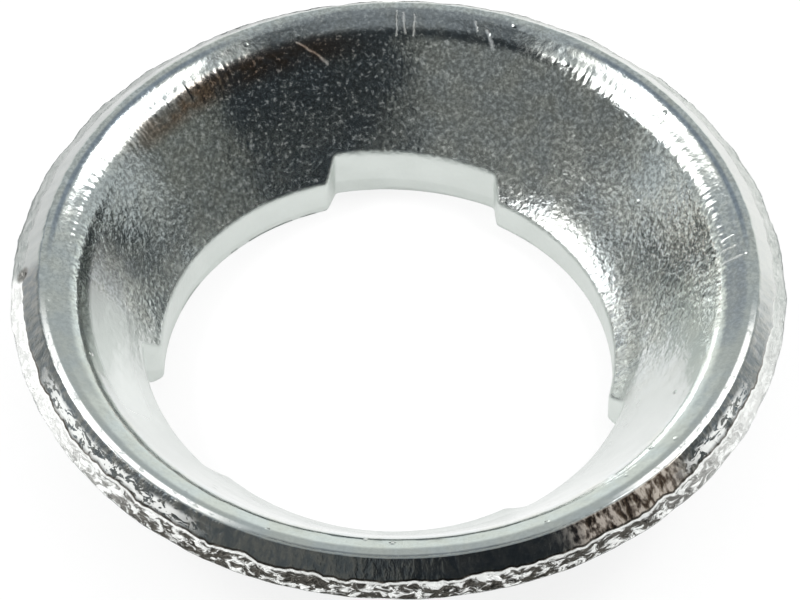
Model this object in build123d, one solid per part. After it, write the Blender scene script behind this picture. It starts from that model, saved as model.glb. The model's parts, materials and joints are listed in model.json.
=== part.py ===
from build123d import *
import math
import os

# A cup washer pressed from one piece of plated sheet steel, standing on its small end.
# A sheet disc is blanked, dished through two bends into a flared cup, and its bottom is
# punched out by a hole with three notches. Z runs up the axis of the cup, and the origin is
# the middle of the foot that the washer stands on. Lengths are millimetres, angles degrees.

# The sheet
sheet = 1.35               # thickness of the sheet

# The hole, with tabs between its notches, punched a little off the cup's middle
tab_radius = 7.05          # from the hole's middle to the edges of the three tabs
notch_depth = 0.6          # how much further out the three notches reach
notch_count = 3
notch_width = 4.95         # width of a notch at its bottom
notch_flare = 12.0         # each side of a notch opens towards the middle at this angle
notch_turn = 83.3          # direction of the middle of the first notch, from X
notch_root_round = 0.15    # rounding in the two corners at a notch's bottom
tab_corner_round = 0.3     # rounding of the tabs' corners
hole_shift = -0.32         # the punch stood this far to one side, along X

# The foot and the wall
foot_inset = 0.295         # from the tabs' edges in to the line of the wall, at the cup's floor
foot_bend = 3.0            # radius of the upper face where the wall turns in to the floor
foot_press = 0.74          # the outside of the foot bend is pressed flat by this depth
wall_slope = 52.0          # slope of the wall between its bends
crest_height = 4.8         # where the lines of the wall and of the land cross, above the foot

# The land and the sheared rim
crest_bend = 1.45          # radius of the upper face where the land turns down into the wall
land_slope = 27.0          # the land falls inwards at this slope
land_width = 1.971         # from the crossing of those lines out to the edge of the rim
shear_lean = 0.22          # the smooth part of the sheared edge leans out by this much
burnish_depth = 0.85       # depth of that smooth part, through the sheet
burr_lean = 0.2            # the torn part below it leans out by this much more
rollover = 0.35            # rounding of the rim's upper corner

# Worked out from those sizes
notch_radius = tab_radius + notch_depth
cup_radius = tab_radius - foot_inset
floor_level = sheet - foot_press
wall_rise = crest_height - floor_level
crest_radius = cup_radius + wall_rise / math.tan(math.radians(wall_slope))
rim_radius = crest_radius + land_width


def along(point, slope, distance, drop=0.0):
    """The point at this distance up a sloping face, and this far down through the sheet."""
    angle = math.radians(slope)
    out = point[0] + distance * math.cos(angle) + drop * math.sin(angle)
    up = point[1] + distance * math.sin(angle) - drop * math.cos(angle)
    return out, up


def crossing(first, first_slope, second, second_slope):
    """Where two sloping lines of the section cross."""
    first_rise = math.tan(math.radians(first_slope))
    second_rise = math.tan(math.radians(second_slope))
    level = second[1] - first[1] + first_rise * first[0] - second_rise * second[0]
    out = level / (first_rise - second_rise)
    return out, first[1] + first_rise * (out - first[0])


def bend_that_fits(radius, turn, room):
    """The radius of a bend, or the largest one whose arc ends within the straight beside it."""
    return min(radius, room / math.tan(math.radians(turn / 2)))


def cup_section():
    """Half of the cup's section: land, crest bend, wall and foot bend, one sheet thick."""
    upper_floor = (cup_radius / 4, floor_level)
    upper_foot = (cup_radius, floor_level)
    upper_crest = (crest_radius, crest_height)

    # The sheared edge is one sheet deep, and its burr edge reaches the radius of the rim.
    edge_lean = shear_lean + burr_lean
    edge_reach = along((0, 0), land_slope, edge_lean, sheet)[0]
    land_length = (land_width - edge_reach) / math.cos(math.radians(land_slope))
    upper_rim = along(upper_crest, land_slope, land_length)
    torn_line = along(upper_rim, land_slope, shear_lean, burnish_depth)
    burr_edge = along(upper_rim, land_slope, edge_lean, sheet)

    # The lower face runs parallel to the upper one, one sheet below it.
    wall_below = along(upper_foot, wall_slope, 0, sheet)
    lower_crest = crossing(burr_edge, land_slope, wall_below, wall_slope)
    lower_foot = crossing((0, floor_level - sheet), 0, wall_below, wall_slope)
    lower_floor = (upper_floor[0], floor_level - sheet)

    outline = Polyline(
        upper_floor,
        upper_foot,
        upper_crest,
        upper_rim,
        torn_line,
        burr_edge,
        lower_crest,
        lower_foot,
        lower_floor,
        close=True,
    )
    section = make_face(outline)

    # The two bends share the wall between them, and the crest bend leaves some land.
    half_wall = 0.49 * wall_rise / math.sin(math.radians(wall_slope))
    most_land = min(half_wall, 0.8 * land_length)
    foot = bend_that_fits(foot_bend, wall_slope, half_wall)
    crest = bend_that_fits(crest_bend, wall_slope - land_slope, most_land)
    bends = [
        (upper_foot, foot),
        (lower_foot, foot + sheet),
        (upper_crest, crest),
        (lower_crest, max(crest - sheet, 0.1 * sheet)),
        (upper_rim, rollover),
    ]
    for corner, radius in bends:
        place = Vector(*corner)
        nearest = section.vertices().sort_by_distance(place)[0]
        section = fillet(nearest, radius)

    # What lies below the foot is pressed flat.
    above_floor = Pos(0, 2 * rim_radius) * Rectangle(4 * rim_radius, 4 * rim_radius)
    return section & above_floor


def notched_hole():
    """Outline of the hole: a circle to the tabs' edges, with three flared notches."""
    near = tab_radius / 2
    spread = (notch_radius - near) * math.tan(math.radians(notch_flare))
    corners = [
        (near, -notch_width / 2 - spread),
        (notch_radius, -notch_width / 2),
        (notch_radius, notch_width / 2),
        (near, notch_width / 2 + spread),
    ]
    slot = make_face(Polyline(*corners, close=True)) & Circle(notch_radius)
    outline = Circle(tab_radius)
    for number in range(notch_count):
        outline += Rot(0, 0, notch_turn + number * 360 / notch_count) * slot

    # The rounds at the two ends of a notch's side share its depth.
    middle = Vector(0, 0, 0)
    tab_corners = outline.vertices().sort_by_distance(middle)[: 2 * notch_count]
    outline = fillet(tab_corners, min(tab_corner_round, 0.6 * notch_depth))
    root_corners = outline.vertices().sort_by_distance(middle)[-2 * notch_count :]
    return fillet(root_corners, min(notch_root_round, 0.3 * notch_depth))


def cup_washer():
    """The finished pressing."""
    cup = revolve(Plane.XZ * cup_section(), Axis.Z)
    punch = extrude(Pos(hole_shift, 0, -sheet) * notched_hole(), 2 * crest_height)
    return cup - punch


washer = cup_washer()
os.makedirs("parts", exist_ok=True)
export_step(washer, "parts/cup_washer.step")
print("volume", round(washer.volume, 2), "mm3, rim radius", round(rim_radius, 3))
print(washer.bounding_box())
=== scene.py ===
# %% [markdown]
# # A cup washer in bright plating
# The object is one pressing. A disc is sheared out of steel sheet, a punch dishes it through
# two bends into a flared cup, a second punch takes the bottom out with three notches, and the
# whole piece is plated. This lesson makes it in that order: a flat blank with its hole, the
# rounding that the tools leave on its edges, the pressing, the marks of the shear, the plating.
# It starts from the measured model, which gives the place and the size of everything.

import json
import math

import bmesh
import bpy
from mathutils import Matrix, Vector, noise


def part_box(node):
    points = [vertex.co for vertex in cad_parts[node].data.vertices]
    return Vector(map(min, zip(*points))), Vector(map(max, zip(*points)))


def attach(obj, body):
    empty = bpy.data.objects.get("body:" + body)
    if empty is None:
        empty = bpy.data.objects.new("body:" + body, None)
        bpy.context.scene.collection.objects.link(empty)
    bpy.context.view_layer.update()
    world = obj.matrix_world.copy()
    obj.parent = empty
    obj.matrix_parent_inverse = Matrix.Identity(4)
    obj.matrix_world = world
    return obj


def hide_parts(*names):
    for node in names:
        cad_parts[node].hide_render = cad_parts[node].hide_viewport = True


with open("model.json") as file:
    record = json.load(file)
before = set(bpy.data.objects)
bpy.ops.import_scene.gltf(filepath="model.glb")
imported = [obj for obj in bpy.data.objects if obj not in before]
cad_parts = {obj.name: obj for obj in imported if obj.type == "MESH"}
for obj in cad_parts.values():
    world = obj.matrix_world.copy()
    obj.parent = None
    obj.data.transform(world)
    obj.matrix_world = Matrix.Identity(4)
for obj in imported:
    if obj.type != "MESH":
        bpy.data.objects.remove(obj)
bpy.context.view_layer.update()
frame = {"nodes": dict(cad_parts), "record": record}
bpy.ops.object.select_all(action="DESELECT")
print("measured pieces:", sorted(frame["nodes"]))

# %% [markdown]
# ## Sizes
# A pressing is described by its section: a flat foot, a bend up into the wall, a bend out into
# the land, and the sheared edge. The rim's radius comes from the measured box and the hole
# from the measured mount, so the visible piece can't drift away from the model. The rest are
# the sheet's thickness, the slopes and the bend radii, each written once.

# %% The sizes of the section
mm = 0.001
low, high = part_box("cup_washer")
rim_radius = (high.x - low.x) / 2
shaft_hole = next(m for m in frame["record"]["mounts"] if m["name"] == "shaft_hole")
hole_middle = Vector((shaft_hole["pos_m"][0], shaft_hole["pos_m"][1], 0))
tab_radius = shaft_hole["dims"]["r_mm"] * mm

sheet = 1.35 * mm
foot_inset = 0.295 * mm
foot_bend = 3.0 * mm
foot_press = 0.74 * mm
wall_slope = math.radians(52)
crest_height = 4.8 * mm
crest_bend = 1.45 * mm
land_slope = math.radians(27)
shear_lean = 0.22 * mm
burnish_depth = 0.85 * mm
burr_lean = 0.2 * mm
print("sheet", round(sheet / mm, 2), "mm, rim radius", round(rim_radius / mm, 3), "mm")

# %% Where the bends and the sheared edge come out
floor_level = sheet - foot_press
cup_radius = tab_radius - foot_inset
crest_radius = cup_radius + (crest_height - floor_level) / math.tan(wall_slope)
foot_tangent = foot_bend * math.tan(wall_slope / 2)
foot_middle = (cup_radius - foot_tangent, floor_level + foot_bend)
crest_tangent = crest_bend * math.tan((wall_slope - land_slope) / 2)
crest_middle = (
    crest_radius - crest_tangent * math.cos(wall_slope) + crest_bend * math.sin(wall_slope),
    crest_height - crest_tangent * math.sin(wall_slope) - crest_bend * math.cos(wall_slope),
)


def edge_reach(lean, depth):
    """How much further out the sheared edge is, this deep in the sheet, than at its top."""
    return lean * math.cos(land_slope) + depth * math.sin(land_slope)


edge_radius = rim_radius - edge_reach(shear_lean + burr_lean, sheet)
torn_radius = edge_radius + edge_reach(shear_lean, burnish_depth)
print("the land ends at", round(edge_radius / mm, 3), "mm from the middle")

# %% [markdown]
# ## The press
# A pressed sheet keeps its thickness, so each layer of it follows the same two bends, a little
# wider or tighter. One function gives the height of any layer at any radius. It will be used
# as the die: the blank is modelled flat, where its edges are easy to shape, and then pressed.

# %% The die
def pressed(radius, depth):
    """Height in the finished cup of what lay this deep in the flat blank at this radius."""
    foot = foot_bend + depth
    crest = crest_bend - depth
    wall_start = foot_middle[0] + foot * math.sin(wall_slope)
    wall_end = crest_middle[0] - crest * math.sin(wall_slope)
    land_start = crest_middle[0] - crest * math.sin(land_slope)
    if radius < wall_start:
        height = foot_middle[1] - math.sqrt(foot**2 - (radius - foot_middle[0]) ** 2)
    elif radius < wall_end:
        wall_foot = foot_middle[1] - foot * math.cos(wall_slope)
        height = wall_foot + (radius - wall_start) * math.tan(wall_slope)
    elif radius < land_start:
        height = crest_middle[1] + math.sqrt(crest**2 - (radius - crest_middle[0]) ** 2)
    else:
        land_foot = crest_middle[1] + crest * math.cos(land_slope)
        height = land_foot + (radius - land_start) * math.tan(land_slope)
    return max(height, 0.0)


print("height at the hole", round(pressed(tab_radius, 0) / mm, 3), "mm")

# %% [markdown]
# ## The outline of the hole
# The hole is a circle with three notches whose sides flare inwards, and every corner is a
# little rounded, as a punch is. It could be cut later with a Boolean, but that leaves slivers
# that spoil a mirror finish. Here the outline comes first and the sheet is grown from it, so
# that every face is a clean four-sided one: a circle is added, the notches' bottoms are scaled
# outwards, and what lies between becomes the straight sides.

# %% A helper that selects in edit mode
def select(kind, test):
    """Selects the vertices or edges of the mesh in edit mode that pass a test."""
    bpy.ops.mesh.select_mode(type=kind)
    bpy.ops.mesh.select_all(action="DESELECT")
    form = bmesh.from_edit_mesh(bpy.context.edit_object.data)
    picked = 0
    for part in form.verts if kind == "VERT" else form.edges:
        if test(part):
            part.select_set(True)
            picked += 1
    form.select_flush_mode()
    bmesh.update_edit_mesh(bpy.context.edit_object.data)
    return picked


# %% The notches' angles
notch_depth = 0.6 * mm
notch_count = 3
notch_width = 4.95 * mm
notch_flare = math.radians(12)
notch_turn = math.radians(83.3)
notch_radius = tab_radius + notch_depth


def side_turn(radius):
    """Angle from a notch's middle to its side, at this radius."""
    reach = notch_width / 2 * math.cos(notch_flare) + notch_radius * math.sin(notch_flare)
    return math.pi / 2 - notch_flare - math.acos(reach / radius)


def turn_from_notch(place):
    """Angle between a place and the middle of the nearest notch."""
    turn = math.atan2(place.y - hole_middle.y, place.x - hole_middle.x) - notch_turn
    third = math.tau / notch_count
    return abs((turn + third / 2) % third - third / 2)


root_turn = side_turn(notch_radius)
corner_turn = side_turn(tab_radius)
print("a notch spans", round(math.degrees(2 * root_turn), 1), "degrees")

# %% Add the circle and push the notches out
circle_points = 900
half_step = math.pi / circle_points
bpy.ops.mesh.primitive_circle_add(
    vertices=circle_points,
    radius=tab_radius,
    location=hole_middle,
    rotation=(0, 0, notch_turn - math.pi / 2),
)
washer = bpy.context.object
washer.name = "plated_cup_washer"
bpy.ops.object.transform_apply(location=True, rotation=True, scale=True)
bpy.ops.object.mode_set(mode="EDIT")
select("VERT", lambda v: turn_from_notch(v.co) < root_turn + half_step)
wider = notch_radius / tab_radius
bpy.ops.transform.resize(value=(wider, wider, 1), center_override=hole_middle)
between = select(
    "VERT", lambda v: root_turn + half_step <= turn_from_notch(v.co) < corner_turn - half_step
)
bpy.ops.mesh.dissolve_verts()
print("dissolved between bottoms and tabs:", between)

# %% Divide the straight sides and round the corners
side_cuts = 13
root_smooth = 3
corner_smooth = 7
corner_reach = 0.28 * mm
select("EDGE", lambda e: e.calc_length() > notch_depth / 2)
bpy.ops.mesh.subdivide(number_cuts=side_cuts)


def near_corner(place, radius, turn):
    """Whether a place lies close to a corner at this radius and angle."""
    away = (place - hole_middle).length
    aside = (turn_from_notch(place) - turn) * away
    return math.hypot(away - radius, aside) < corner_reach


select("VERT", lambda v: near_corner(v.co, notch_radius, root_turn))
bpy.ops.mesh.vertices_smooth(factor=0.5, repeat=root_smooth)
select("VERT", lambda v: near_corner(v.co, tab_radius, corner_turn))
bpy.ops.mesh.vertices_smooth(factor=0.5, repeat=corner_smooth)
outline_points = len(bmesh.from_edit_mesh(washer.data).verts)
print("points round the hole:", outline_points)

# %% [markdown]
# ## The blank
# The blank grows from that outline. Circles with as many points as the outline has are added
# round it and bridged to it, and the edges are extruded down through the sheet. Each band is
# one face wide at first, because an edge can be bevelled only as far as the next line of
# vertices, and the bevels here are wide. Height is zero at the sheet's upper face.

# %% The upper face
shoulder_radius = 9.4 * mm
close = 0.001 * mm


def radius_of(place):
    return math.hypot(place.x, place.y)


def at(radius, depth):
    """A test for vertices that lie at this radius and this deep in the sheet."""
    return lambda v: abs(radius_of(v.co) - radius) < close and abs(v.co.z + depth) < close


def inside(depth):
    """A test for the vertices of the hole's outline, this deep in the sheet."""
    return lambda v: radius_of(v.co) < shoulder_radius - close and abs(v.co.z + depth) < close


def bridge(inner, outer):
    """Bridges two loops of vertices, each given by its test, with one band of faces."""
    select("VERT", lambda v: inner(v) or outer(v))
    select("EDGE", lambda e: all(inner(v) for v in e.verts) or all(outer(v) for v in e.verts))
    bpy.ops.mesh.bridge_edge_loops()


for radius in (shoulder_radius, edge_radius):
    bpy.ops.mesh.primitive_circle_add(
        vertices=outline_points, radius=radius, location=(0, 0, 0)
    )
bridge(inside(0), at(shoulder_radius, 0))
bridge(at(shoulder_radius, 0), at(edge_radius, 0))
print("faces in the upper face:", len(bmesh.from_edit_mesh(washer.data).faces))

# %% Down through the sheet, in two steps
def move_down(depth):
    """Extrudes the whole selected face down to this depth."""
    form = bmesh.from_edit_mesh(washer.data)
    now = max(-v.co.z for v in form.verts)
    bpy.ops.mesh.extrude_region_move(TRANSFORM_OT_translate={"value": (0, 0, now - depth)})


def widen(loop, radius):
    """Scales a loop of the outer edge out to this radius."""
    select("VERT", loop)
    wider = radius / edge_radius
    bpy.ops.transform.resize(value=(wider, wider, 1), center_override=(0, 0, 0))


bpy.ops.mesh.select_mode(type="FACE")
bpy.ops.mesh.select_all(action="SELECT")
move_down(burnish_depth)
move_down(sheet)
widen(at(edge_radius, burnish_depth), torn_radius)
widen(at(edge_radius, sheet), rim_radius)
bpy.ops.mesh.select_all(action="SELECT")
bpy.ops.mesh.normals_make_consistent(inside=False)
print("faces in the flat blank:", len(bmesh.from_edit_mesh(washer.data).faces))

# %% [markdown]
# ## The rounding that the tools leave
# A punch drags the sheet's upper edge down before it cuts, so the upper edges of the rim and of
# the hole are rounded, and the lower ones end in a small burr. Bevels with several segments
# make those roundings. Only then are the bands divided into the fine grid that the pressing
# and the shear marks need.

# %% Bevel the four edges
def bevel(loop, width, segments):
    select("EDGE", lambda e: all(loop(v) for v in e.verts))
    bpy.ops.mesh.bevel(
        affect="EDGES",
        offset_type="OFFSET",
        offset=width,
        segments=segments,
        profile=0.5,
        loop_slide=False,
    )


rim_rounding = 0.33 * mm
hole_rounding = 0.09 * mm
rim_burr = 0.03 * mm
hole_burr = 0.04 * mm
bevel(at(edge_radius, 0), rim_rounding, segments=5)
bevel(inside(0), hole_rounding, segments=3)
bevel(at(rim_radius, sheet), rim_burr, segments=2)
bevel(inside(sheet), hole_burr, segments=2)
print("faces after bevelling:", len(bmesh.from_edit_mesh(washer.data).faces))

# %% Divide the bands
def divide(test, cuts):
    """Divides the edges that run across a band."""
    select("EDGE", test)
    bpy.ops.mesh.subdivide(number_cuts=cuts)


def across(edge, radius, depth, outwards):
    """Whether an edge starts on this circle and runs outwards, or inwards, from it."""
    ends = [at(radius, depth)(v) for v in edge.verts]
    if sum(ends) != 1:
        return False
    other = edge.verts[ends.index(False)]
    return (radius_of(other.co) > radius) == outwards


def down_hole(edge, start, end):
    """Whether an edge of the hole's cut face runs down the sheet between these depths."""
    low, high = sorted(-v.co.z for v in edge.verts)
    inner = all(radius_of(v.co) < shoulder_radius - close for v in edge.verts)
    return inner and start - close < low < high < end + close and high - low > close


divide(lambda e: across(e, shoulder_radius, 0, outwards=False), cuts=28)
divide(lambda e: across(e, shoulder_radius, 0, outwards=True), cuts=22)
divide(lambda e: across(e, shoulder_radius, sheet, outwards=False), cuts=6)
divide(lambda e: across(e, shoulder_radius, sheet, outwards=True), cuts=6)
divide(lambda e: down_hole(e, hole_rounding, burnish_depth), cuts=4)
divide(lambda e: down_hole(e, burnish_depth, sheet - hole_burr), cuts=2)
divide(lambda e: across(e, torn_radius, burnish_depth, outwards=False), cuts=8)
divide(lambda e: across(e, torn_radius, burnish_depth, outwards=True), cuts=8)
bpy.ops.object.mode_set(mode="OBJECT")
print("faces in the divided blank:", len(washer.data.polygons))

# %% [markdown]
# ## The sheared edge
# A blanking die first shaves the edge smooth and then tears the rest, so the real rim has a
# smooth band, a ragged line and a rough band with a wavy lower corner. It could be painted with
# bump alone, but the rim is the outline of the piece, so its vertices are moved: each slides
# along the edge by a smooth random value that depends only on its place round the rim. How
# deep each vertex lay in the sheet, and which cut it belongs to, is kept in attributes.

# %% The shape of the sheared edge, and random waves round it
line_waver = 0.1 * mm
line_wave = 0.75 * mm
burr_waver = 0.05 * mm
burr_wave = 1.3 * mm
shear_top = 0.24 * mm  # the sheared edge starts this deep, inside the rim's rounding
rolled_share = 0.6  # the rounding is flattened to this share of its depth
smooth_lean = (torn_radius - edge_radius) / burnish_depth
wave_octaves = 3
wave_roughness = 0.7
wave_step = 2.0
edge_nearness = 0.02 * mm


def shear_radius(depth, line=burnish_depth):
    """Radius of the sheared edge at this depth, where its torn part starts at the line."""
    if depth < line:
        return edge_radius + smooth_lean * depth
    line_radius = edge_radius + smooth_lean * line
    return line_radius + (rim_radius - line_radius) * (depth - line) / (sheet - line)


def random_wave(place, length):
    """A smooth random value, mostly between -1 and 1, that changes over about this length."""
    return noise.fractal(place / length, wave_roughness, wave_step, wave_octaves)


def round_rim(place):
    """The point of the rim's circle nearest to a place, so that a wave runs round the rim."""
    return Vector((place.x, place.y, 0)).normalized() * rim_radius


def on_shear(place):
    """Whether a vertex of the flat blank lies on the sheared edge, below its rounding."""
    away = abs(radius_of(place) - shear_radius(-place.z))
    return -place.z > shear_top and away < edge_nearness


def move_to_radius(vertex, radius):
    wider = radius / radius_of(vertex.co)
    vertex.co.x *= wider
    vertex.co.y *= wider


# %% Note each vertex's place in the sheet
def add_attribute(name, values):
    layer = washer.data.attributes.new(name=name, type="FLOAT", domain="POINT")
    layer.data.foreach_set("value", [float(value) for value in values])


blank = [v.co.copy() for v in washer.data.vertices]
sheared = [on_shear(place) for place in blank]
torn = [cut and -place.z > burnish_depth + close for cut, place in zip(sheared, blank)]
punched = [
    radius_of(place) < shoulder_radius and close < -place.z < sheet - close for place in blank
]
add_attribute("depth", [-place.z / sheet for place in blank])
add_attribute("sheared", sheared)
add_attribute("punched", punched)
print("vertices on the shear:", sum(sheared), "torn:", sum(torn), "punched:", sum(punched))

# %% Make the torn line ragged and the lower corner wavy
for vertex, cut in zip(washer.data.vertices, sheared):
    depth = -vertex.co.z
    rounded = radius_of(vertex.co) > edge_radius - rim_rounding - close and depth < rim_rounding
    if rounded and not cut:
        vertex.co.z = -depth * rolled_share
        slid = smooth_lean * depth * (1 - rolled_share)
        move_to_radius(vertex, radius_of(vertex.co) - slid)
    if cut:
        line = burnish_depth + line_waver * random_wave(round_rim(vertex.co), line_wave)
        if depth < burnish_depth + close:
            share = (depth - shear_top) / (burnish_depth - shear_top)
            start = shear_top * rolled_share
            depth = start + share * (line - start)
        else:
            share = (depth - burnish_depth) / (sheet - burnish_depth)
            depth = line + share * (sheet - line)
        vertex.co.z = -depth
        move_to_radius(vertex, shear_radius(depth, line))
    outwards = max(0, radius_of(vertex.co) - edge_radius) / (rim_radius - edge_radius)
    wave = burr_waver * random_wave(round_rim(vertex.co) + hole_middle, burr_wave)
    move_to_radius(vertex, radius_of(vertex.co) + wave * outwards * (depth / sheet) ** 2)

# %% [markdown]
# ## The pressing
# Every vertex keeps its radius and takes the height that the die gives to its layer. This is
# the same as bending the sheet over the punch, and it leaves the rows of faces evenly spaced
# through both bends. Then the surface gets the unevenness that is too large for a bump: the
# wall's slight waves, the rough tear, and a nick in the rim.

# %% Press the blank
for vertex in washer.data.vertices:
    vertex.co.z = pressed(radius_of(vertex.co), -vertex.co.z)
bpy.ops.object.shade_smooth()
print("height of the cup:", round(max(v.co.z for v in washer.data.vertices) / mm, 3), "mm")

# %% Move the surface in and out
wall_waves = ((0.006 * mm, 1.7 * mm), (0.004 * mm, 0.75 * mm))
shear_waves = ((0.012 * mm, 0.55 * mm),)
tear_depth = 0.05 * mm
tear_grain = 0.34 * mm
tear_step = 0.03 * mm
tear_middle = 0.6
tear_noise = (0.8, 2.1, 3, 1.0, 2.0)  # dimension, step, octaves, offset and gain
nick_place = Vector((-11.64, 0.28, 4.6)) * mm
nick_size = 0.16 * mm
nick_depth = 0.1 * mm
normals = [v.normal.copy() for v in washer.data.vertices]
for vertex, normal, cut, tear in zip(washer.data.vertices, normals, sheared, torn):
    place = vertex.co.copy()
    move = sum(size * random_wave(place, length) for size, length in wall_waves)
    if cut:
        move += sum(size * random_wave(round_rim(place), length) for size, length in shear_waves)
    if tear:
        grain = noise.ridged_multi_fractal(place / tear_grain, *tear_noise)
        move += tear_depth * (grain / 2 - tear_middle) - tear_step
    move -= nick_depth * math.exp(-(((place - nick_place).length / nick_size) ** 2))
    vertex.co += normal * move
    vertex.co.z = max(vertex.co.z, 0)
washer.data.update()
print("triangles:", sum(len(p.vertices) - 2 for p in washer.data.polygons))

# %% [markdown]
# ## Nodes, and places on the washer
# Every finish below is worked out by nodes from where a point lies. A few helpers keep that
# short. The first group turns a point's coordinates into millimetres, its radius, its bearing
# from the back, and a point on the rim's circle, so that marks can follow the piece round.

# %% Helpers for nodes
def feed(tree, socket, value):
    """Links a socket to another socket, or sets it to a plain value."""
    if isinstance(value, bpy.types.NodeSocket):
        tree.links.new(value, socket)
    else:
        socket.default_value = value


def new_group(name, inputs, outputs):
    """A shader node group with the named sockets, and the sockets of its two ends."""
    group = bpy.data.node_groups.new(name, "ShaderNodeTree")
    for label, kind in inputs:
        group.interface.new_socket(label, in_out="INPUT", socket_type="NodeSocket" + kind)
    for label, kind in outputs:
        group.interface.new_socket(label, in_out="OUTPUT", socket_type="NodeSocket" + kind)
    given = group.nodes.new("NodeGroupInput").outputs
    made = group.nodes.new("NodeGroupOutput").inputs
    return group, given, made


def place_group(tree, group, **values):
    """Places a group in a tree, fed with sockets or values, and returns its outputs."""
    node = tree.nodes.new("ShaderNodeGroup")
    node.node_tree = group
    for label, value in values.items():
        feed(tree, node.inputs[label.replace("_", " ")], value)
    return node.outputs


def math_node(tree, operation, *values, clamp=False):
    node = tree.nodes.new("ShaderNodeMath")
    node.operation = operation
    node.use_clamp = clamp
    for socket, value in zip(node.inputs, values):
        feed(tree, socket, value)
    return node.outputs[0]


def product_node(tree, *values):
    """All the values multiplied together, such as masks that must all be 1."""
    product = values[0]
    for value in values[1:]:
        product = math_node(tree, "MULTIPLY", product, value)
    return product


def blend_node(tree, share, first, second):
    """The first value where the share is 0, the second where it is 1."""
    difference = math_node(tree, "SUBTRACT", second, first)
    return math_node(tree, "MULTIPLY_ADD", difference, share, first)


def vector_node(tree, operation, *values, scale=None):
    node = tree.nodes.new("ShaderNodeVectorMath")
    node.operation = operation
    for socket, value in zip(node.inputs, values):
        feed(tree, socket, value)
    if scale is not None:
        feed(tree, node.inputs["Scale"], scale)
    gives_value = operation in ("LENGTH", "DISTANCE", "DOT_PRODUCT")
    return node.outputs["Value" if gives_value else "Vector"]


def range_node(tree, value, start, end, low=0.0, high=1.0):
    """A smooth step: low where the value is at the start, high where it is at the end."""
    node = tree.nodes.new("ShaderNodeMapRange")
    node.interpolation_type = "SMOOTHSTEP"
    for label, given in zip(
        ("Value", "From Min", "From Max", "To Min", "To Max"), (value, start, end, low, high)
    ):
        feed(tree, node.inputs[label], given)
    return node.outputs["Result"]


def band_node(tree, value, middle, half, soft):
    """1 where the value is within a half width of the middle, with soft ends."""
    away = math_node(tree, "ABSOLUTE", math_node(tree, "SUBTRACT", value, middle))
    return range_node(tree, away, half - soft, half + soft, 1.0, 0.0)


def noise_node(tree, vector, scale, detail=2.0, roughness=0.5, distortion=0.0):
    node = tree.nodes.new("ShaderNodeTexNoise")
    feed(tree, node.inputs["Vector"], vector)
    feed(tree, node.inputs["Scale"], scale)
    node.inputs["Detail"].default_value = detail
    node.inputs["Roughness"].default_value = roughness
    node.inputs["Distortion"].default_value = distortion
    return node.outputs["Fac"]


def mix_node(tree, factor, first, second):
    node = tree.nodes.new("ShaderNodeMix")
    node.data_type = "RGBA"
    feed(tree, node.inputs["Factor"], factor)
    feed(tree, node.inputs["A"], first)
    feed(tree, node.inputs["B"], second)
    return node.outputs["Result"]


# %% Where a point lies on the washer, in millimetres
where_group, _, made = new_group(
    "where_on_the_washer",
    [],
    [("Place", "Vector"), ("Ring", "Vector"), ("Radius", "Float"), ("Bearing", "Float")],
)
coordinates = where_group.nodes.new("ShaderNodeTexCoord").outputs["Object"]
place = vector_node(where_group, "SCALE", coordinates, scale=1 / mm)
flat = vector_node(where_group, "MULTIPLY", place, (1.0, 1.0, 0.0))
ring = vector_node(where_group, "NORMALIZE", flat)
ring = vector_node(where_group, "SCALE", ring, scale=rim_radius / mm)
parts = where_group.nodes.new("ShaderNodeSeparateXYZ")
feed(where_group, parts.inputs[0], flat)
bearing = math_node(where_group, "ARCTAN2", parts.outputs["X"], parts.outputs["Y"])
feed(where_group, made["Place"], place)
feed(where_group, made["Ring"], ring)
feed(where_group, made["Radius"], vector_node(where_group, "LENGTH", flat))
feed(where_group, made["Bearing"], math_node(where_group, "DEGREES", bearing))

# %% [markdown]
# ## Orange peel
# Stretching steel over a punch roughens it: the grains tilt and the mirror breaks up into small
# worms, lowest where the sheet is stretched least. A noise texture with a little distortion
# gives the worms, a second one gives the fine grain between them, and a few cells of a Voronoi
# texture give the pimples. All heights are in millimetres, so that they mean something.

# %% The orange peel, as a node group
peel_group, given, made = new_group(
    "orange_peel",
    [("Place", "Vector"), ("Worm size", "Float"), ("Worm height", "Float"), ("Grain", "Float")],
    [("Height", "Float"), ("Tone", "Float"), ("Speckle", "Float")],
)
grains_per_mm = 8.0
tones_per_mm = 0.9
cells_per_mm = 1.3
cells_without = 0.72
pimple_radius = 0.16
pimple_height = 0.02
per_worm = math_node(peel_group, "DIVIDE", 1.0, given["Worm size"])
worms = noise_node(
    peel_group, given["Place"], per_worm, detail=1.0, roughness=0.45, distortion=0.35
)
grain = noise_node(
    peel_group, given["Place"], grains_per_mm, detail=2.0, roughness=0.7, distortion=0.2
)
tone = noise_node(peel_group, given["Place"], tones_per_mm, detail=3.0, roughness=0.6)
cells = peel_group.nodes.new("ShaderNodeTexVoronoi")
feed(peel_group, cells.inputs["Vector"], given["Place"])
feed(peel_group, cells.inputs["Scale"], cells_per_mm)
chosen = peel_group.nodes.new("ShaderNodeSeparateColor")
feed(peel_group, chosen.inputs[0], cells.outputs["Color"])
chosen = math_node(peel_group, "GREATER_THAN", chosen.outputs[0], cells_without)
pimple = range_node(peel_group, cells.outputs["Distance"], pimple_radius, 0.0)
pimple = product_node(peel_group, pimple, chosen, pimple_height)
height = math_node(peel_group, "MULTIPLY", worms, given["Worm height"])
height = math_node(peel_group, "MULTIPLY_ADD", grain, given["Grain"], height)
feed(peel_group, made["Height"], math_node(peel_group, "ADD", height, pimple))
feed(peel_group, made["Tone"], tone)
feed(peel_group, made["Speckle"], grain)

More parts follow.
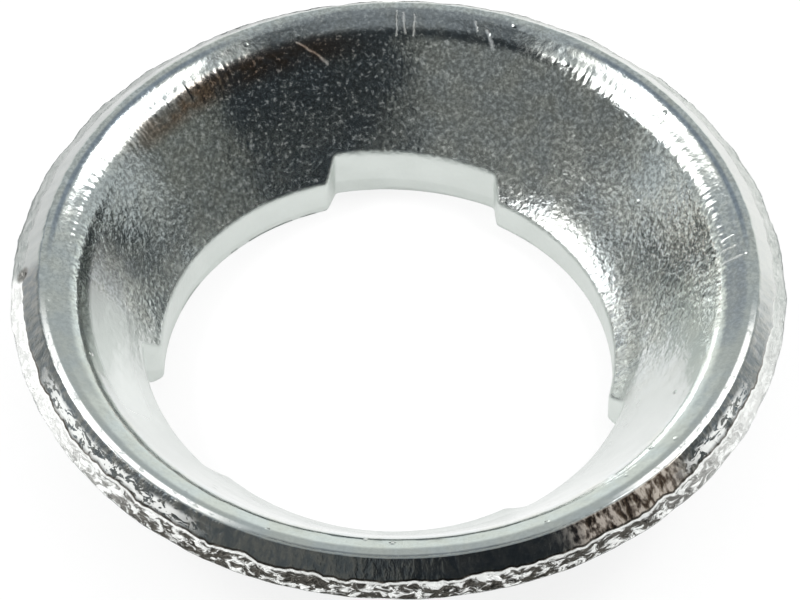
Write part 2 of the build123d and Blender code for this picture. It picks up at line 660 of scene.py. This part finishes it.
# %% [markdown]
# ## Marks of the shear
# The smooth band of a sheared edge has fine lines where the die dragged along it, and the torn
# band is a rubble of bright ridges with dark hollows between them. The lines are noise that
# changes quickly round the rim and slowly down it. The rubble is the same kind of noise turned
# the other way, because the tear runs along the rim: its depth is stretched instead.

# %% The shear marks, as a node group
shear_group, given, made = new_group(
    "shear_marks",
    [("Ring", "Vector"), ("Depth", "Float")],
    [("Height", "Float"), ("Shade", "Float"), ("Ridge", "Float"), ("Torn", "Float")],
)
lines_per_mm = 4.6
line_rise = 0.035
rubble_per_mm = 2.3
rubble_rise = 0.17
rubble_base = -0.08
depth_stretch = 3.6
torn_edge = (0.632, 0.652)
down = shear_group.nodes.new("ShaderNodeCombineXYZ")
feed(shear_group, down.inputs["Z"], given["Depth"])
track = vector_node(shear_group, "ADD", given["Ring"], down.outputs[0])
lines = noise_node(shear_group, track, lines_per_mm, detail=2.0, roughness=0.6)
stretched = vector_node(shear_group, "SCALE", down.outputs[0], scale=depth_stretch)
stretched = vector_node(shear_group, "ADD", given["Ring"], stretched)
rubble = noise_node(
    shear_group, stretched, rubble_per_mm, detail=3.0, roughness=0.66, distortion=0.8
)
torn = range_node(shear_group, given["Depth"], *torn_edge)
line_height = math_node(shear_group, "MULTIPLY", lines, line_rise)
rubble_height = math_node(shear_group, "MULTIPLY_ADD", rubble, rubble_rise, rubble_base)
height = blend_node(shear_group, torn, line_height, rubble_height)
feed(shear_group, made["Height"], height)
feed(shear_group, made["Shade"], range_node(shear_group, lines, 0.36, 0.64))
feed(shear_group, made["Ridge"], rubble)
feed(shear_group, made["Torn"], torn)

# %% [markdown]
# ## Scratches
# Bright zinc is soft, so a washer that has lain among others carries short bright scratches. A
# scratch could be cut into the mesh, but it is finer than the mesh is. A group works out how
# far a point is, seen from above, from the line between two ends, and fades with that distance.

# %% A scratch, as a node group
scratch_group, given, made = new_group(
    "scratch",
    [("Place", "Vector"), ("From", "Vector"), ("To", "Vector"), ("Width", "Float")],
    [("Mask", "Float")],
)
plan = vector_node(scratch_group, "MULTIPLY", given["Place"], (1.0, 1.0, 0.0))
reach = vector_node(scratch_group, "SUBTRACT", given["To"], given["From"])
aside = vector_node(scratch_group, "SUBTRACT", plan, given["From"])
span = vector_node(scratch_group, "DOT_PRODUCT", reach, reach)
share = vector_node(scratch_group, "DOT_PRODUCT", aside, reach)
share = math_node(scratch_group, "DIVIDE", share, span, clamp=True)
nearest = vector_node(scratch_group, "SCALE", reach, scale=share)
away = vector_node(scratch_group, "LENGTH", vector_node(scratch_group, "SUBTRACT", aside, nearest))
feed(scratch_group, made["Mask"], range_node(scratch_group, away, given["Width"], 0.0))

# %% [markdown]
# ## The bright plating
# Bright zinc is a mirror with a faint haze, a little bluer or greener from place to place, and
# brown where it burnt thin. On the sheared rim it lies thin and dark, and on the punched face of
# the hole it is pale and satin. Light and shade are painted in too: white highlights on the tear,
# its chain of blobs and the rolled lip, shade in the tear's hollows and the nick, a dark
# reflection beside the land's edge, a pale reflection on the rim away from the front and a paler
# patch on the wall at the left. So one material is enough: masks from the radius and from the
# attributes lead from one look to the next. A mark with a place of its own is an arc of bearings,
# a ring of radii and sometimes a layer of the sheet. They stand together in one list, where each
# can be moved by itself.

# %% The material, and where its marks are
plating = bpy.data.materials.new("bright_plating")
plating.use_nodes = True
tree = plating.node_tree
metal = tree.nodes["Principled BSDF"]

# Arcs on both sides alike: middle, half width and softness, in degrees from the back.
comb_arc = (64.0, 34.0, 8.0)
dark_reflection_arc = (58.0, 26.0, 8.0)
# Arcs on one side: the same in bearings, clockwise from the back as seen from above.
stain_arc = (-32.0, 22.0, 10.0)
brown_arc = (142.0, 11.0, 4.0)
dark_arc = (-99.0, 14.0, 6.0)
left_highlight_chain_arc = (-129.0, 18.0, 5.0)
right_highlight_chain_arc = (122.0, 9.0, 5.0)
left_lip_highlight_arc = (-126.0, 25.0, 8.0)
right_lip_highlight_arc = (121.0, 20.0, 6.0)
sheen_patch_arc = (-102.0, 20.0, 10.0)
# Rings: the same in millimetres of radius.
comb_ring = (10.08, 0.26, 0.2)
stain_ring = (9.92, 0.26, 0.2)
dark_reflection_ring = (10.82, 0.075, 0.05)
lip_highlight_ring = (edge_radius / mm, 0.085, 0.035)
# Layers: the same in shares of the sheet's depth.
shadow_line_layer = (0.622, 0.022, 0.014)
highlight_chain_layer = (0.47, 0.12, 0.06)
# Edges: where a mask starts and where it is full, in millimetres.
sheen_patch_inner_edge = (7.8, 8.8)
sheen_patch_outer_edge = (9.66, 9.46)
nick_shade_edge = (0.34, 0.18)

# %% Masks that lead from one finish to the next
land_start = 10.25
wall_top = 9.8
smooth_wall_edge = 9.9
smooth_wall_top = 9.6
wall_foot = 7.6


def attribute_node(name):
    node = tree.nodes.new("ShaderNodeAttribute")
    node.attribute_name = name
    return node.outputs["Fac"]


depth_mask = attribute_node("depth")
shear_mask = attribute_node("sheared")
punch_mask = attribute_node("punched")
where = place_group(tree, where_group)
from_the_back = math_node(tree, "ABSOLUTE", where["Bearing"])
# The peel is strong on the wall behind, weaker on the land, and faint on both in front.
land_share = range_node(tree, from_the_back, 80.0, 112.0, 0.5, 0.12)
wall_share = range_node(tree, from_the_back, 86.0, 108.0, 1.0, 0.22)
peeled = range_node(tree, where["Radius"], land_start, wall_top, land_share, wall_share)
lower_wall = range_node(tree, where["Radius"], smooth_wall_top, wall_foot)
to_the_right = range_node(tree, where["Bearing"], -30.0, 60.0)
left_front = range_node(tree, where["Bearing"], -87.0, -90.0)
right_front = range_node(tree, where["Bearing"], 84.0, 118.0)
in_front = math_node(tree, "MAXIMUM", left_front, right_front)
upper_side = range_node(tree, depth_mask, 0.3, 0.5, 1.0, 0.0)

# %% [markdown]
# ## The relief
# A mirror shows every hundredth of a millimetre, so the relief is worked out as one height and
# given to a single bump. The peel comes first, then the comb-like marks of the punch where the
# sheet turned over the crest, the scratches, and a slight sag of the land in front. Below the
# rim's edge the marks of the shear take over.

# %% The heights
worm_size = 0.20
grain_height = 0.0055
comb_height = 0.032
combs_per_mm = 3.4
scratch_depth = -0.005
sag_start = 10.2
sag_slope = -0.042
worm_height = math_node(tree, "MULTIPLY_ADD", lower_wall, 0.010, 0.008)
worm_height = math_node(tree, "MULTIPLY_ADD", to_the_right, 0.007, worm_height)
peel = place_group(
    tree,
    peel_group,
    Place=where["Place"],
    Worm_size=worm_size,
    Worm_height=math_node(tree, "MULTIPLY", worm_height, peeled),
    Grain=math_node(tree, "MULTIPLY", peeled, grain_height),
)
marks = place_group(tree, shear_group, Ring=where["Ring"], Depth=depth_mask)
comb = noise_node(tree, where["Ring"], combs_per_mm, detail=1.0, roughness=0.5)
comb_share = product_node(
    tree,
    band_node(tree, where["Radius"], *comb_ring),
    comb_height,
    band_node(tree, from_the_back, *comb_arc),
)
sag = range_node(tree, from_the_back, 120.0, 150.0, 0.0, sag_slope)
beyond_bend = math_node(tree, "SUBTRACT", where["Radius"], sag_start)
beyond_bend = math_node(tree, "MAXIMUM", beyond_bend, 0.0)
marks_share = math_node(tree, "MULTIPLY_ADD", in_front, 0.2, 0.8)
torn_share = range_node(tree, from_the_back, 110.0, 144.0, 0.4, 1.0)
marks_share = math_node(tree, "MULTIPLY", marks_share, torn_share)
marks_height = math_node(tree, "MULTIPLY", marks["Height"], marks_share)

# %% The scratches
scratches = [
    # from, to, width, in millimetres
    ((-3.14, 9.74), (-2.18, 9.40), 0.05),
    ((0.02, 10.84), (0.02, 10.14), 0.05),
    ((0.24, 10.77), (0.27, 10.19), 0.07),
    ((0.59, 10.71), (0.56, 10.11), 0.06),
    ((2.54, 10.45), (2.60, 10.15), 0.06),
    ((2.92, 10.12), (3.07, 9.64), 0.08),
    ((10.04, 0.65), (10.68, 0.75), 0.08),
    ((10.08, 1.10), (10.50, 1.20), 0.06),
    ((10.10, 1.45), (10.45, 1.60), 0.05),
    ((5.75, -8.25), (6.6, -7.6), 0.05),
    ((6.2, -8.15), (7.25, -7.34), 0.04),
]
# No scratch is quite straight, so the place that they are measured from wanders a little.
wanders_per_mm = 2.5
wander_reach = 0.16
wander = tree.nodes.new("ShaderNodeTexNoise")
feed(tree, wander.inputs["Vector"], where["Place"])
feed(tree, wander.inputs["Scale"], wanders_per_mm)
wandering = vector_node(tree, "SCALE", wander.outputs["Color"], scale=wander_reach)
wandering = vector_node(tree, "ADD", where["Place"], wandering)
cuts = 0.0
for start, end, width in scratches:
    scratch = place_group(
        tree, scratch_group, Place=wandering, From=(*start, 0), To=(*end, 0), Width=width
    )
    cuts = math_node(tree, "MAXIMUM", cuts, scratch["Mask"])
print("scratches:", len(scratches))

# %% One bump from all the heights
height = math_node(tree, "MULTIPLY_ADD", cuts, scratch_depth, peel["Height"])
height = math_node(tree, "MULTIPLY_ADD", comb, comb_share, height)
height = math_node(tree, "MULTIPLY_ADD", sag, beyond_bend, height)
height = blend_node(tree, shear_mask, height, marks_height)
bump = tree.nodes.new("ShaderNodeBump")
bump.inputs["Strength"].default_value = 1.0
bump.inputs["Distance"].default_value = mm
feed(tree, bump.inputs["Height"], height)
feed(tree, metal.inputs["Normal"], bump.outputs[0])

# %% [markdown]
# ## The colours
# The zinc is laid down as paint would be: the ground first, then each mark over it through its
# own mask. The ground shifts slowly between two tints and is broken by fine dark specks where
# the peel is rough, and a painted dark reflection runs as a blue line along the land's outer
# edge. The smooth band of the sheared edge is grey and striped, with brown at its right end and
# a chain of painted white highlights, and the tear has painted white highlights on its ridges,
# painted shade in its hollows and a painted shadow line along its top. Away from the front the
# whole edge is painted pale as a painted reflection, paler on the right.

# %% The colours of the land and the wall
zinc_cool = (0.76, 0.80, 0.80, 1)
zinc_warm = (0.80, 0.82, 0.78, 1)
zinc_burnt = (0.50, 0.34, 0.24, 1)
zinc_dull = (0.70, 0.73, 0.71, 1)
dark_reflection_blue = (0.34, 0.40, 0.48, 1)
color = mix_node(tree, range_node(tree, peel["Tone"], 0.35, 0.65), zinc_cool, zinc_warm)
stain = product_node(
    tree,
    band_node(tree, where["Radius"], *stain_ring),
    band_node(tree, where["Bearing"], *stain_arc),
    range_node(tree, peel["Tone"], 0.35, 0.6, 0.4, 0.95),
    upper_side,
)
color = mix_node(tree, stain, color, zinc_burnt)
# Painted dark reflection: a blue line along the land's outer edge, beside the lamps' highlights.
painted_dark_reflection = product_node(
    tree,
    band_node(tree, where["Radius"], *dark_reflection_ring),
    band_node(tree, from_the_back, *dark_reflection_arc),
    upper_side,
    0.85,
)
color = mix_node(tree, painted_dark_reflection, color, dark_reflection_blue)
speckle = range_node(tree, peel["Speckle"], 0.36, 0.62, 0.66, 1.12)
speckle = blend_node(tree, peeled, 1.0, speckle)
color = vector_node(tree, "SCALE", color, scale=speckle)
smooth_wall = range_node(tree, where["Radius"], smooth_wall_edge, smooth_wall_top)
smooth_wall = product_node(tree, smooth_wall, in_front, upper_side)
color = mix_node(tree, smooth_wall, color, zinc_dull)

# %% The colours of the sheared edge
shear_sheen_left = (0.50, 0.52, 0.51, 1)
shear_sheen_right = (0.76, 0.78, 0.75, 1)
burnish_blue = (0.29, 0.32, 0.34, 1)
burnish_grey = (0.44, 0.44, 0.42, 1)
burnish_dark = (0.16, 0.17, 0.165, 1)
stripe_dark = (0.30, 0.21, 0.16, 1)
stripe_pale = (0.90, 0.80, 0.70, 1)
# The white of painted highlights on the tear, the chain of blobs and the rolled lip.
painted_highlight_white = (0.93, 0.94, 0.92, 1)
# The dark of painted shade in the tear's hollows and in the nick.
painted_shade_dark = (0.10, 0.09, 0.075, 1)
burnish = mix_node(tree, marks["Shade"], burnish_blue, burnish_grey)
stripes = mix_node(tree, marks["Shade"], stripe_dark, stripe_pale)
brown_side = band_node(tree, where["Bearing"], *brown_arc)
burnish = mix_node(tree, brown_side, burnish, stripes)
dark_end = math_node(tree, "MULTIPLY", band_node(tree, where["Bearing"], *dark_arc), 0.5)
burnish = mix_node(tree, dark_end, burnish, burnish_dark)
# Painted highlights: the tear is painted white, as if its ridges caught the lamps.
shear = mix_node(tree, marks["Torn"], burnish, painted_highlight_white)
# Painted shade: the tear's hollows, and a line along its top, are darkened as if in shadow.
painted_hollow_shade = product_node(
    tree,
    range_node(tree, marks["Ridge"], 0.59, 0.46),
    range_node(tree, depth_mask, 0.68, 0.71),
    range_node(tree, from_the_back, 114.0, 144.0, 0.2, 0.95),
)
shadow_line_share = range_node(tree, from_the_back, 96.0, 110.0)
line = math_node(tree, "MULTIPLY", band_node(tree, depth_mask, *shadow_line_layer), shadow_line_share)
painted_hollow_shade = math_node(tree, "MAXIMUM", painted_hollow_shade, line)
shear = mix_node(tree, painted_hollow_shade, shear, painted_shade_dark)
# Painted highlights: a chain of white blobs in the sheared edge, as if facets there caught the
# lamps.
left_highlight_chain = band_node(tree, where["Bearing"], *left_highlight_chain_arc)
right_highlight_chain = band_node(tree, where["Bearing"], *right_highlight_chain_arc)
painted_highlight_chain = product_node(
    tree,
    math_node(tree, "MAXIMUM", left_highlight_chain, right_highlight_chain),
    band_node(tree, depth_mask, *highlight_chain_layer),
    range_node(tree, marks["Ridge"], 0.45, 0.5),
)
shear = mix_node(tree, painted_highlight_chain, shear, painted_highlight_white)
# Painted reflection: away from the front the sheared edge is painted pale, and paler on the right.
painted_sheen_shear = mix_node(
    tree, range_node(tree, where["Bearing"], -25.0, 35.0), shear_sheen_left, shear_sheen_right
)
painted_sheen_share = math_node(tree, "MULTIPLY", math_node(tree, "SUBTRACT", 1.0, in_front), 0.85)
shear = mix_node(tree, painted_sheen_share, shear, painted_sheen_shear)
color = mix_node(tree, shear_mask, color, shear)

# %% The nick in the rim and the punched face of the hole
punched_pale = (0.72, 0.76, 0.73, 1)
# Painted shade: the nick in the rim is darkened, as a recess in shadow.
from_nick = vector_node(tree, "DISTANCE", where["Place"], tuple(nick_place / mm))
nick_shade = math_node(tree, "MULTIPLY", range_node(tree, from_nick, *nick_shade_edge), 0.75)
color = mix_node(tree, nick_shade, color, painted_shade_dark)
color = mix_node(tree, punch_mask, color, punched_pale)

# %% [markdown]
# ## Where the zinc is no mirror
# Zinc that grew in grains scatters light like chalk, and so does a scratch. Such places are
# made by taking the metallic value down: the specks of the peel, the scratches and the brown
# stripes of the sheared edge. The painted highlights on the ridges and blobs of the sheared
# edge and on the rolled lip above it get less metal too, and so does a patch on the wall at
# the left, which comes out paler as a painted reflection.

# %% The chalky places and the painted highlights
# The painted highlights on the tear's ridges and the chain of blobs, with the brown stripes, get
# less metal in front.
painted_ridge_highlights = math_node(tree, "MULTIPLY", marks["Torn"], math_node(tree, "SUBTRACT", 1.0, painted_hollow_shade))
stripe = product_node(tree, brown_side, marks["Shade"], 0.5)
highlights_and_chalky_stripes = math_node(tree, "MAXIMUM", math_node(tree, "MAXIMUM", painted_ridge_highlights, painted_highlight_chain), stripe)
highlights_and_chalky_stripes = product_node(tree, highlights_and_chalky_stripes, in_front, shear_mask, 0.6)
# Painted highlight on the rolled lip at the land's edge: white, with less metal, as if it caught the
# lamps.
left_lip_highlight = band_node(tree, where["Bearing"], *left_lip_highlight_arc)
right_lip_highlight = band_node(tree, where["Bearing"], *right_lip_highlight_arc)
painted_lip_highlight = product_node(
    tree,
    band_node(tree, where["Radius"], *lip_highlight_ring),
    math_node(tree, "MAXIMUM", left_lip_highlight, right_lip_highlight),
    range_node(tree, marks["Ridge"], 0.36, 0.48, 0.35, 0.9),
    upper_side,
)
specks = math_node(tree, "MULTIPLY", range_node(tree, peel["Speckle"], 0.58, 0.70, 0.0, 0.2), peeled)
# Painted reflection: a patch of the wall at the left gets less metal, so that it comes out paler.
painted_sheen_patch = product_node(
    tree,
    band_node(tree, where["Bearing"], *sheen_patch_arc),
    range_node(tree, where["Radius"], *sheen_patch_inner_edge),
    range_node(tree, where["Radius"], *sheen_patch_outer_edge),
    upper_side,
    0.5,
)
scored = product_node(tree, cuts, upper_side, 0.28)
bare_and_painted_light = 0.0
for mask in (specks, painted_sheen_patch, highlights_and_chalky_stripes, painted_lip_highlight, scored):
    bare_and_painted_light = math_node(tree, "MAXIMUM", bare_and_painted_light, mask)
feed(tree, metal.inputs["Metallic"], math_node(tree, "SUBTRACT", 1.0, bare_and_painted_light))
# The rolled lip's painted highlight is white.
feed(tree, metal.inputs["Base Color"], mix_node(tree, painted_lip_highlight, color, painted_highlight_white))

# %% The roughness
rougher_places = [(lower_wall, 0.12), (shear_mask, 0.1), (marks["Torn"], 0.1), (punch_mask, 0.2)]
roughness = range_node(tree, peel["Tone"], 0.3, 0.7, 0.10, 0.17)
for mask, more in rougher_places:
    roughness = math_node(tree, "MULTIPLY_ADD", mask, more, roughness)
feed(tree, metal.inputs["Roughness"], roughness)
washer.data.materials.append(plating)
print("nodes in the plating:", len(tree.nodes))

# %% Its place in the model
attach(washer, "root")
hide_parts("cup_washer")

# %% [markdown]
# ## The floor
# The washer stands on white paper. A white floor lit by lamps comes out grey, and more light
# would burn the metal out, so the paper is seen as white by the camera, by reflections and
# through glass, and only the rest of its light comes from the lamps, with the washer's shadow.

# %% The floor
bpy.ops.mesh.primitive_plane_add(size=2.0, location=(0, 0, 0))
floor = bpy.context.object
floor.name = "floor"
paper = bpy.data.materials.new("white_paper")
paper.use_nodes = True
tree = paper.node_tree
diffuse = tree.nodes["Principled BSDF"]
diffuse.inputs["Base Color"].default_value = (0.9, 0.9, 0.9, 1)
diffuse.inputs["Roughness"].default_value = 1.0
glow = tree.nodes.new("ShaderNodeEmission")
rays = tree.nodes.new("ShaderNodeLightPath").outputs
seen = math_node(tree, "MAXIMUM", rays["Is Camera Ray"], rays["Is Glossy Ray"])
seen = math_node(tree, "MAXIMUM", seen, rays["Is Transmission Ray"])
white_share = 0.75
blend = tree.nodes.new("ShaderNodeMixShader")
feed(tree, blend.inputs[0], math_node(tree, "MULTIPLY", seen, white_share))
feed(tree, blend.inputs[1], diffuse.outputs[0])
feed(tree, blend.inputs[2], glow.outputs[0])
feed(tree, tree.nodes["Material Output"].inputs["Surface"], blend.outputs[0])
floor.data.materials.append(paper)

# %% [markdown]
# ## The studio
# Polished metal shows its surroundings, so most of its look is made here. The room is dark
# towards the camera and pale behind, with soft lamps on both sides. A tent stands for the
# room: a half dome that only reflections can see. Its material is a chain of windows, each a
# patch of light at a bearing and a height, with soft edges.

# %% A window of light, as a node group
window_group, given, made = new_group(
    "window_of_light",
    [
        ("Color", "Color"),
        ("Light", "Color"),
        ("Bearing", "Float"),
        ("Half width", "Float"),
        ("Height", "Float"),
        ("Half height", "Float"),
        ("Softness", "Float"),
    ],
    [("Color", "Color")],
)
place = window_group.nodes.new("ShaderNodeTexCoord").outputs["Object"]
turned = window_group.nodes.new("ShaderNodeVectorRotate")
turned.rotation_type = "Z_AXIS"
feed(window_group, turned.inputs["Vector"], place)
feed(window_group, turned.inputs["Angle"], given["Bearing"])
towards = vector_node(window_group, "NORMALIZE", turned.outputs[0])
parts = window_group.nodes.new("ShaderNodeSeparateXYZ")
feed(window_group, parts.inputs[0], towards)
across_turn = math_node(window_group, "ARCTAN2", parts.outputs["X"], parts.outputs["Y"])
rise = math_node(window_group, "ARCSINE", parts.outputs["Z"])
rise = math_node(window_group, "SUBTRACT", rise, given["Height"])
mask = 1.0
for away, half in ((across_turn, "Half width"), (rise, "Half height")):
    away = math_node(window_group, "ABSOLUTE", away)
    outer = math_node(window_group, "ADD", given[half], given["Softness"])
    inner = math_node(window_group, "SUBTRACT", given[half], given["Softness"])
    side = range_node(window_group, away, inner, outer, 1.0, 0.0)
    mask = math_node(window_group, "MULTIPLY", mask, side)
feed(window_group, made["Color"], mix_node(window_group, mask, given["Color"], given["Light"]))
print("the window group holds", len(window_group.nodes), "nodes")

# %% The tent and its windows
# Bearings are in degrees from straight behind the washer, clockwise seen from above.
tent_radius = 0.6
tent_dark = (0.033, 0.039, 0.043, 1)
windows = [
    # light, bearing, half width, height, half height, softness
    ((0.44, 0.47, 0.47, 1), -4, 100, 45, 90, 12),
    ((0.84, 0.89, 0.86, 1), 0, 60, 0, 14, 9),
    ((0.30, 0.33, 0.36, 1), -45, 11, 27, 10, 5),
    ((0.19, 0.20, 0.195, 1), -136, 40, 24, 26, 10),
    ((0.16, 0.17, 0.16, 1), 104, 14, 20, 22, 8),
    ((0.235, 0.255, 0.27, 1), 0, 180, 90, 16, 8),
    ((3.0, 3.0, 3.0, 1), -85, 24, 46, 17, 4),
    ((3.0, 3.0, 3.0, 1), 66, 12, 48, 10, 3),
    ((3.0, 3.0, 3.0, 1), 85, 11, 57, 6, 3),
]
bpy.ops.mesh.primitive_uv_sphere_add(segments=64, ring_count=32, radius=tent_radius)
tent = bpy.context.object
tent.name = "tent"
bpy.ops.object.mode_set(mode="EDIT")
bpy.ops.mesh.select_all(action="SELECT")
bpy.ops.mesh.bisect(plane_co=(0, 0, 0), plane_no=(0, 0, 1), clear_inner=True)
bpy.ops.object.mode_set(mode="OBJECT")
cloth = bpy.data.materials.new("tent_cloth")
cloth.use_nodes = True
tree = cloth.node_tree
tree.nodes.remove(tree.nodes["Principled BSDF"])
light = tent_dark
for bright, bearing, half_width, height, half_height, softness in windows:
    light = place_group(
        tree,
        window_group,
        Color=light,
        Light=bright,
        Bearing=math.radians(bearing),
        Half_width=math.radians(half_width),
        Height=math.radians(height),
        Half_height=math.radians(half_height),
        Softness=math.radians(softness),
    )["Color"]
glow = tree.nodes.new("ShaderNodeEmission")
feed(tree, glow.inputs["Color"], light)
feed(tree, tree.nodes["Material Output"].inputs["Surface"], glow.outputs[0])
tent.data.materials.append(cloth)
tent.visible_camera = False
tent.visible_diffuse = False
tent.visible_transmission = False
tent.visible_volume_scatter = False
tent.visible_shadow = False
print("windows in the tent:", len(windows))

# %% [markdown]
# ## The lamps
# The tent lights only reflections. The paper and the shadow need real light: an even white
# room and two square lamps, where the tent's bright windows are. The lamps themselves are
# hidden from reflections, because their windows already show there.

# %% The room's plain light
world = bpy.data.worlds.new("studio")
bpy.context.scene.world = world
world.use_nodes = True
world.node_tree.nodes["Background"].inputs["Color"].default_value = (1, 1, 1, 1)

# %% The lamps
lamp_distance = 0.3
lamp_size = 0.1
lamp_power = 0.35
for name, bearing, height in (("lamp_left", -85, 46), ("lamp_right", 73, 50)):
    bearing, height = math.radians(bearing), math.radians(height)
    level = math.cos(height)
    towards = Vector((math.sin(bearing) * level, math.cos(bearing) * level, math.sin(height)))
    bpy.ops.object.light_add(type="AREA", location=lamp_distance * towards)
    lamp = bpy.context.object
    lamp.name = name
    lamp.data.size = lamp_size
    lamp.data.energy = lamp_power
    lamp.rotation_euler = towards.to_track_quat("Z", "Y").to_euler()
    lamp.visible_glossy = False

# %% [markdown]
# ## The camera
# The photograph was taken from close by, about 50 degrees above the floor, with the rim nearly
# filling the frame. The camera looks at the middle of the rim, from the side that the origin's
# minus Y points to, through a long lens. A small shift centres the rim in the frame.

# %% The camera
burr_height = pressed(rim_radius, sheet)
camera_distance = 192 * mm
camera_elevation = math.radians(50.5)
aim = Vector((0, 0, burr_height))
towards_camera = Vector((0, -math.cos(camera_elevation), math.sin(camera_elevation)))
bpy.ops.object.camera_add(location=aim + camera_distance * towards_camera)
camera = bpy.context.object
camera.rotation_euler = towards_camera.to_track_quat("Z", "Y").to_euler()
camera.data.lens = 279.4
camera.data.sensor_width = 36
camera.data.shift_x = 0.00194
camera.data.shift_y = -0.01484
camera.data.clip_start = 0.01
camera.data.clip_end = 10
bpy.context.scene.camera = camera

# %% [markdown]
# ## Finish
# The Standard view transform shows colours as they were written.

# %% Finish
bpy.context.scene.view_settings.view_transform = "Standard"
